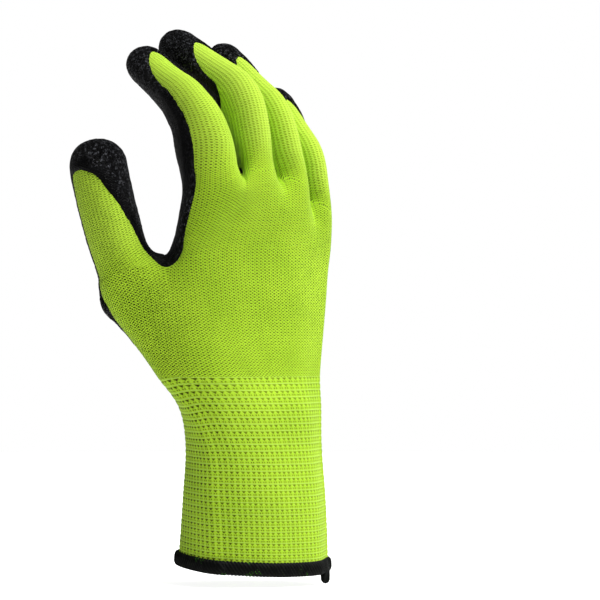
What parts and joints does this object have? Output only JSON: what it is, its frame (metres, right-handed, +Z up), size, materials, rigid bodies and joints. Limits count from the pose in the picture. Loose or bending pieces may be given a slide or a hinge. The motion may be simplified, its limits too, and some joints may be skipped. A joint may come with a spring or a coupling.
{
  "type": "latex coated knit work glove",
  "caption": "Seamless knit work glove for a right hand with a crinkled latex coating over the palm, fingers and thumb.",
  "frame": {"origin": "centre of the wrist opening at the foot of the cuff", "axes": "+Z up the hand to the fingertips, -X towards the thumb side, +Y out of the palm, -Y out of the back of the hand"},
  "size_m": [0.1148, 0.0857, 0.2431],
  "materials": {
    "lime_knit": "fine matte knit",
    "black_latex": "semi-gloss crinkle",
    "black_thread": "matte wrapped thread"
  },
  "bodies": {
    "root": {"knit_wrist": "lime_knit", "knit_palm": "lime_knit", "knit_knuckles": "lime_knit", "knit_index": "lime_knit", "knit_middle": "lime_knit", "knit_ring": "lime_knit", "knit_little": "lime_knit", "knit_thumb": "lime_knit", "latex_coating": "black_latex", "hem_binding": "black_thread", "hem_tail": "black_thread"}
  },
  "joints": []
}
